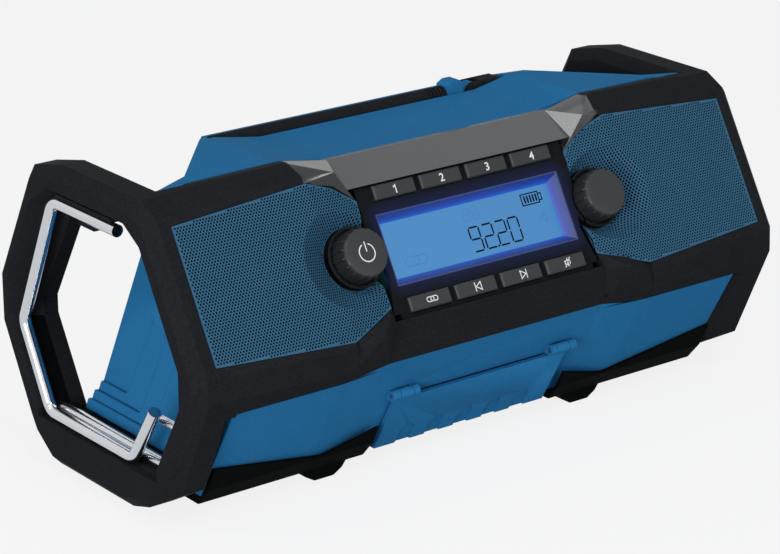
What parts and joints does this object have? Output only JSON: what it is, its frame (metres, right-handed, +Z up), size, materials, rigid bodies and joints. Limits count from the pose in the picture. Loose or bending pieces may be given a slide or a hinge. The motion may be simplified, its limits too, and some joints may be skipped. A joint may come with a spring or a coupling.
{
  "type": "jobsite radio",
  "caption": "Rugged battery jobsite radio: six-sided blue housing with speaker grilles, a lit display, keys and knobs, open end frames, folding antenna and hanging hook.",
  "frame": {"origin": "centre of the footprint, on the surface that the feet stand on", "axes": "+X along the length to the tuning-knob end, -Y to the front, +Z up"},
  "size_m": [0.35, 0.1746, 0.1548],
  "materials": {
    "blue_plastic": "fine sand texture",
    "charcoal_plastic": "fine grain",
    "black_rubber": "dull",
    "blue_mesh": "perforated, satin",
    "bright_steel": "polished",
    "plain_steel": "brushed",
    "lcd_glass": "backlit",
    "light_frame": "glowing",
    "circuit_board": "solder mask",
    "paper_cone": "pressed",
    "ferrite": "dull",
    "pack_plastic": "moulded",
    "contact_metal": "plated",
    "key_plastic": "satin"
  },
  "bodies": {
    "chassis": {"antenna_base": "charcoal_plastic", "antenna_pin": "plain_steel", "battery_cradle": "charcoal_plastic", "battery_pack": "pack_plastic", "battery_terminals": "contact_metal", "board_posts": "charcoal_plastic", "control_panel": "charcoal_plastic", "display_frame": "light_frame", "dome_switches": "black_rubber", "door_hinge_lugs": "blue_plastic", "door_hinge_pins": "plain_steel", "front_bezel": "charcoal_plastic", "front_housing": "blue_plastic", "hook_keeper": "bright_steel", "hook_stop": "bright_steel", "key_board": "circuit_board", "lcd_panel": "lcd_glass", "left_bumper": "black_rubber", "left_end_frame": "charcoal_plastic", "left_grille": "blue_mesh", "left_grip_insert": "black_rubber", "left_speaker_basket": "charcoal_plastic", "left_speaker_cone": "paper_cone", "left_speaker_magnet": "ferrite", "main_board": "circuit_board", "rear_housing": "blue_plastic", "right_bumper": "black_rubber", "right_end_frame": "charcoal_plastic", "right_grille": "blue_mesh", "right_grip_insert": "black_rubber", "right_speaker_basket": "charcoal_plastic", "right_speaker_cone": "paper_cone", "right_speaker_magnet": "ferrite", "tuning_encoder": "charcoal_plastic", "volume_encoder": "charcoal_plastic"},
    "antenna": {"antenna_knuckle": "blue_plastic", "antenna_rod": "charcoal_plastic"},
    "battery_door_body": {"battery_door": "blue_plastic"},
    "mute_button": {"mute_key": "key_plastic"},
    "next_button": {"next_key": "key_plastic"},
    "pairing_button": {"pairing_key": "key_plastic"},
    "preset_1_button": {"preset_1_key": "key_plastic"},
    "preset_2_button": {"preset_2_key": "key_plastic"},
    "preset_3_button": {"preset_3_key": "key_plastic"},
    "preset_4_button": {"preset_4_key": "key_plastic"},
    "previous_button": {"previous_key": "key_plastic"},
    "hook": {"side_hook": "bright_steel"},
    "tuning_turn": {"tuning_knob": "key_plastic"},
    "tuning_push": {"tuning_shaft": "plain_steel"},
    "volume_turn": {"volume_knob": "key_plastic"},
    "volume_push": {"volume_shaft": "plain_steel"}
  },
  "joints": [
    {"name": "preset_1_press", "type": "slide", "parent": "chassis", "child": "preset_1_button", "axis": [0, 0.866, -0.5], "range_m": [0, 0.0008], "stiffness_N_per_m": 500},
    {"name": "preset_2_press", "type": "slide", "parent": "chassis", "child": "preset_2_button", "axis": [0, 0.866, -0.5], "range_m": [0, 0.0008], "stiffness_N_per_m": 500},
    {"name": "preset_3_press", "type": "slide", "parent": "chassis", "child": "preset_3_button", "axis": [0, 0.866, -0.5], "range_m": [0, 0.0008], "stiffness_N_per_m": 500},
    {"name": "preset_4_press", "type": "slide", "parent": "chassis", "child": "preset_4_button", "axis": [0, 0.866, -0.5], "range_m": [0, 0.0008], "stiffness_N_per_m": 500},
    {"name": "pairing_press", "type": "slide", "parent": "chassis", "child": "pairing_button", "axis": [0, 0.866, -0.5], "range_m": [0, 0.0008], "stiffness_N_per_m": 500},
    {"name": "previous_press", "type": "slide", "parent": "chassis", "child": "previous_button", "axis": [0, 0.866, -0.5], "range_m": [0, 0.0008], "stiffness_N_per_m": 500},
    {"name": "next_press", "type": "slide", "parent": "chassis", "child": "next_button", "axis": [0, 0.866, -0.5], "range_m": [0, 0.0008], "stiffness_N_per_m": 500},
    {"name": "mute_press", "type": "slide", "parent": "chassis", "child": "mute_button", "axis": [0, 0.866, -0.5], "range_m": [0, 0.0008], "stiffness_N_per_m": 500},
    {"name": "volume_press", "type": "slide", "parent": "chassis", "child": "volume_push", "axis": [0, 0.866, -0.5], "range_m": [0, 0.0008], "stiffness_N_per_m": 900},
    {"name": "volume_rotate", "type": "hinge", "parent": "volume_push", "child": "volume_turn", "pos_m": [-0.072, -0.06415, 0.11505], "axis": [0, -0.866, 0.5], "continuous": true},
    {"name": "tuning_press", "type": "slide", "parent": "chassis", "child": "tuning_push", "axis": [0, 0.866, -0.5], "range_m": [0, 0.0008], "stiffness_N_per_m": 900},
    {"name": "tuning_rotate", "type": "hinge", "parent": "tuning_push", "child": "tuning_turn", "pos_m": [0.072, -0.06415, 0.11505], "axis": [0, -0.866, 0.5], "continuous": true},
    {"name": "antenna_fold", "type": "hinge", "parent": "chassis", "child": "antenna", "pos_m": [0.066, 0.0299, 0.1478], "axis": [0, 1, 0], "range_deg": [0, 90]},
    {"name": "battery_door_swing", "type": "hinge", "parent": "chassis", "child": "battery_door_body", "pos_m": [0, -0.0656, 0.0425], "axis": [-1, 0, 0], "range_deg": [0, 100]},
    {"name": "hook_swing", "type": "hinge", "parent": "chassis", "child": "hook", "pos_m": [-0.171, 0.002, 0.0275], "axis": [0, -1, 0], "range_deg": [0, 90]}
  ]
}
